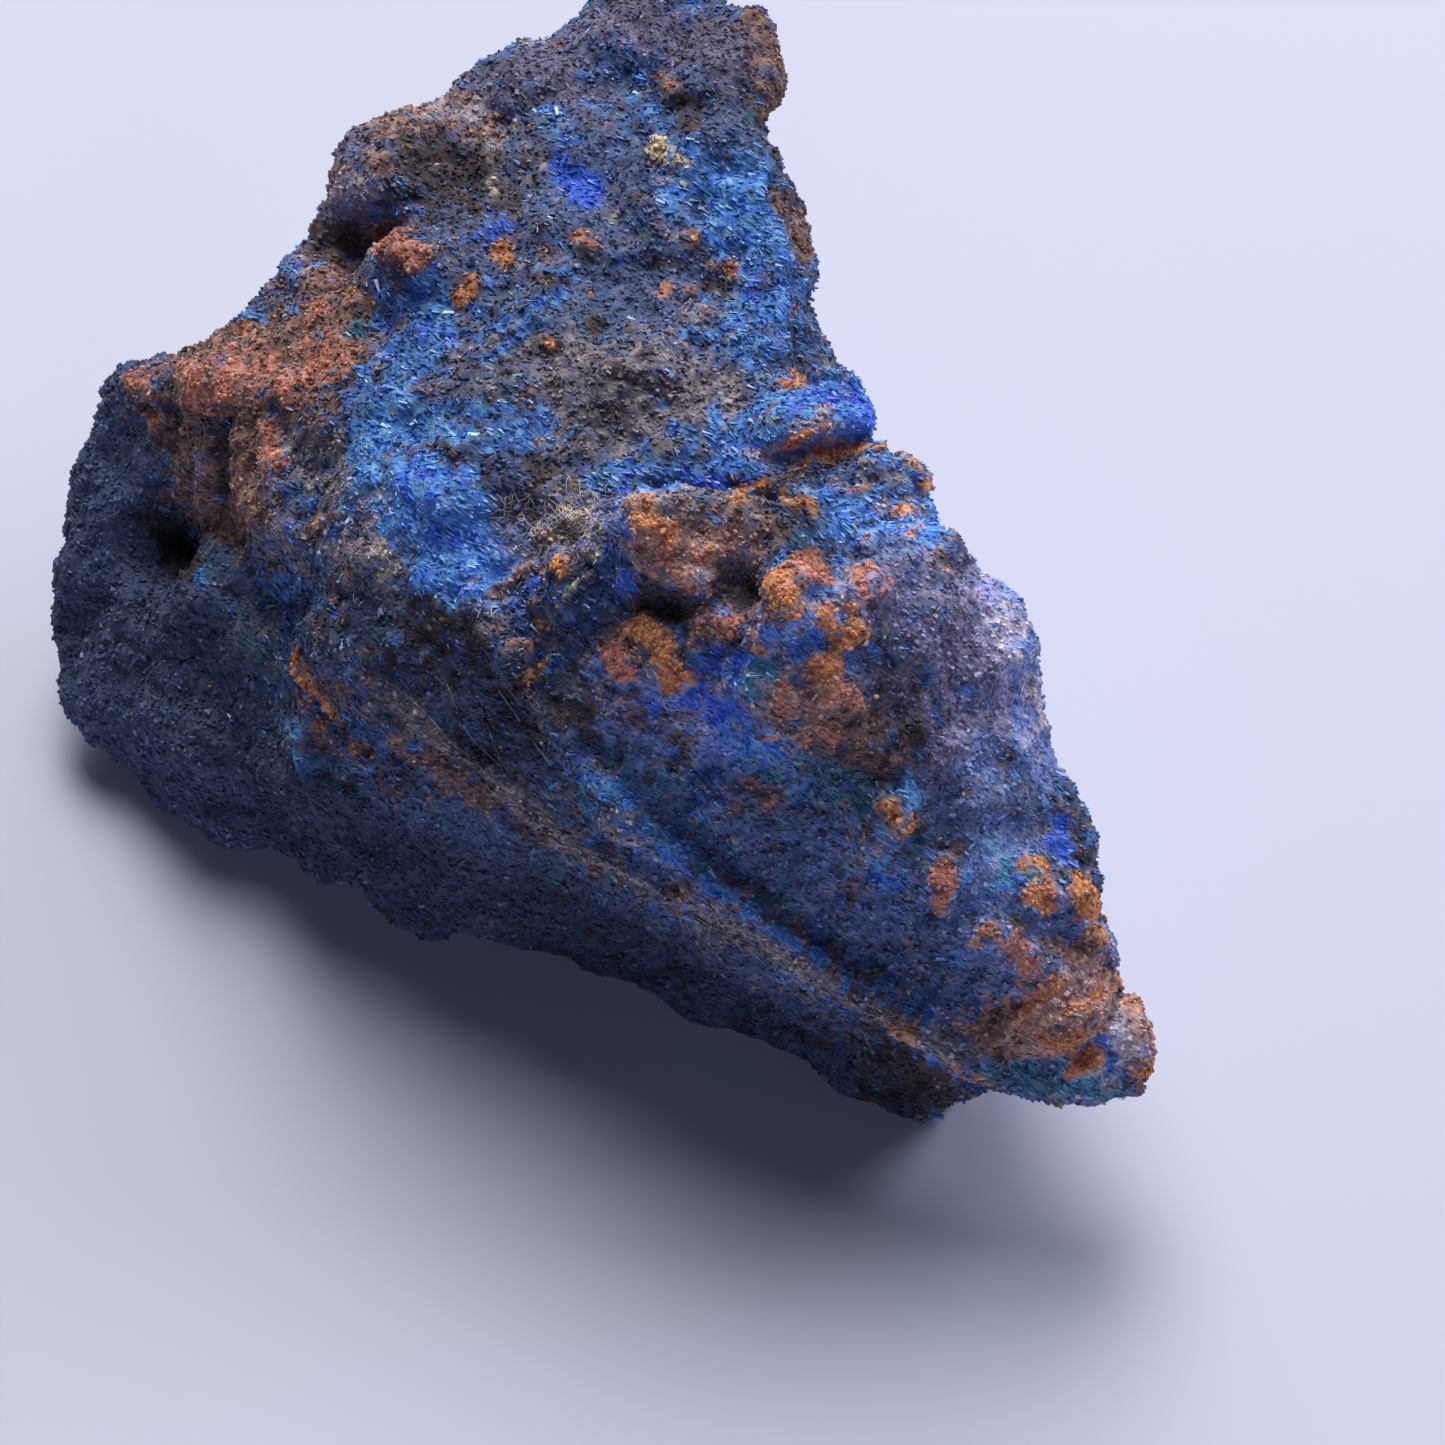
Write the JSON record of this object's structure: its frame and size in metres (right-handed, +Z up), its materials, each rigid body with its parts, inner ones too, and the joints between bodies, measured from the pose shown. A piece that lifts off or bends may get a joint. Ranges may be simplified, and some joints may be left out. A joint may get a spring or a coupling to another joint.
{
  "type": "azurite specimen",
  "caption": "Small rough mineral chunk with a fine blue azurite crust on rusty brown rock, thick at the back and drawn out to a low pointed tip in front.",
  "frame": {"origin": "on the ground, under the middle of the stone's bounding box", "axes": "+X to the right across the stone, +Y from the pointed tip in front to the broad back, +Z up from the flat place that it rests on"},
  "size_m": [0.024, 0.0254, 0.0131],
  "materials": {
    "azurite_crust": "matt fine-grained azurite crust, deep to bright blue, over rust-brown and grey-brown limonite rock"
  },
  "bodies": {
    "root": {"azurite_stone": "azurite_crust"}
  },
  "joints": []
}
